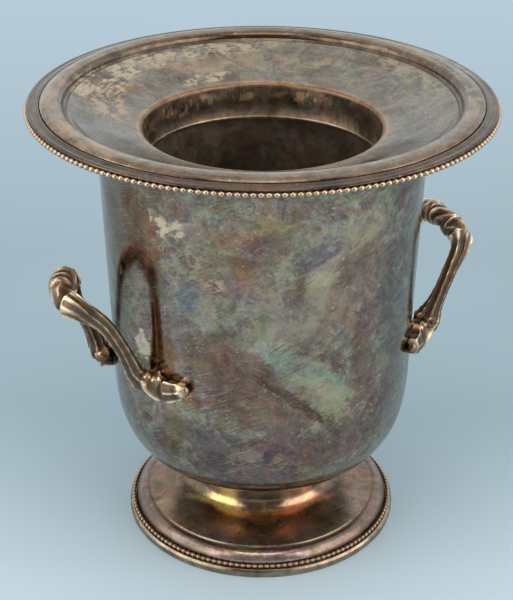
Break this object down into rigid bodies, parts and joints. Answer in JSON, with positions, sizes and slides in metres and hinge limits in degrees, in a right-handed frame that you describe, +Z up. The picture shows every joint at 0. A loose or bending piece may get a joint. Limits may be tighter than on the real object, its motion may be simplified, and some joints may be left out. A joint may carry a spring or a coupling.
{
  "type": "champagne bucket",
  "caption": "Footed urn-shaped champagne bucket with beaded edges, cast loop handles, a lift-out liner and a wide dished lift-off collar.",
  "frame": {"origin": "middle of the flat face the foot stands on", "axes": "+Z up along the turned axis; +X through the middle of the right handle, +Y to the rear"},
  "size_m": [0.24, 0.24, 0.2475],
  "materials": {
    "body_silver": "tarnished silver plate, blue-grey and purple patches, semi-gloss",
    "rim_silver": "tarnished silver plate, grey-brown, semi-gloss",
    "bead_silver": "tarnished silver plate, bronze with bright crowns",
    "foot_silver": "tarnished silver plate, brown, glossy",
    "handle_silver": "cast and tarnished silver plate, bronze with bright ridges",
    "collar_silver": "tarnished silver plate, grey-green with cream worn patches",
    "liner_silver": "dark brown tarnish, satin",
    "fixing_brass": "plain turned brass, satin"
  },
  "bodies": {
    "bucket": {"body_shell": "body_silver", "rim_band": "rim_silver", "rim_bead_wire": "bead_silver", "foot_bead_wire": "bead_silver", "foot_shell": "foot_silver", "foot_edge_band": "foot_silver", "handle_right": "handle_silver", "handle_left": "handle_silver", "foot_stud": "fixing_brass", "foot_washer": "fixing_brass", "foot_nut": "fixing_brass", "stud_left_front": "fixing_brass", "washer_left_front": "fixing_brass", "nut_left_front": "fixing_brass", "stud_left_rear": "fixing_brass", "washer_left_rear": "fixing_brass", "nut_left_rear": "fixing_brass", "stud_right_front": "fixing_brass", "washer_right_front": "fixing_brass", "nut_right_front": "fixing_brass", "stud_right_rear": "fixing_brass", "washer_right_rear": "fixing_brass", "nut_right_rear": "fixing_brass"},
    "liner": {"liner_can": "liner_silver", "liner_rim_wire": "liner_silver"},
    "collar": {"collar_plate": "collar_silver", "collar_neck": "collar_silver"}
  },
  "joints": [
    {"name": "liner_lift", "type": "slide", "parent": "bucket", "child": "liner", "axis": [0, 0, 1], "range_m": [0, 0.24]},
    {"name": "collar_lift", "type": "slide", "parent": "liner", "child": "collar", "axis": [0, 0, 1], "range_m": [0, 0.1]}
  ]
}
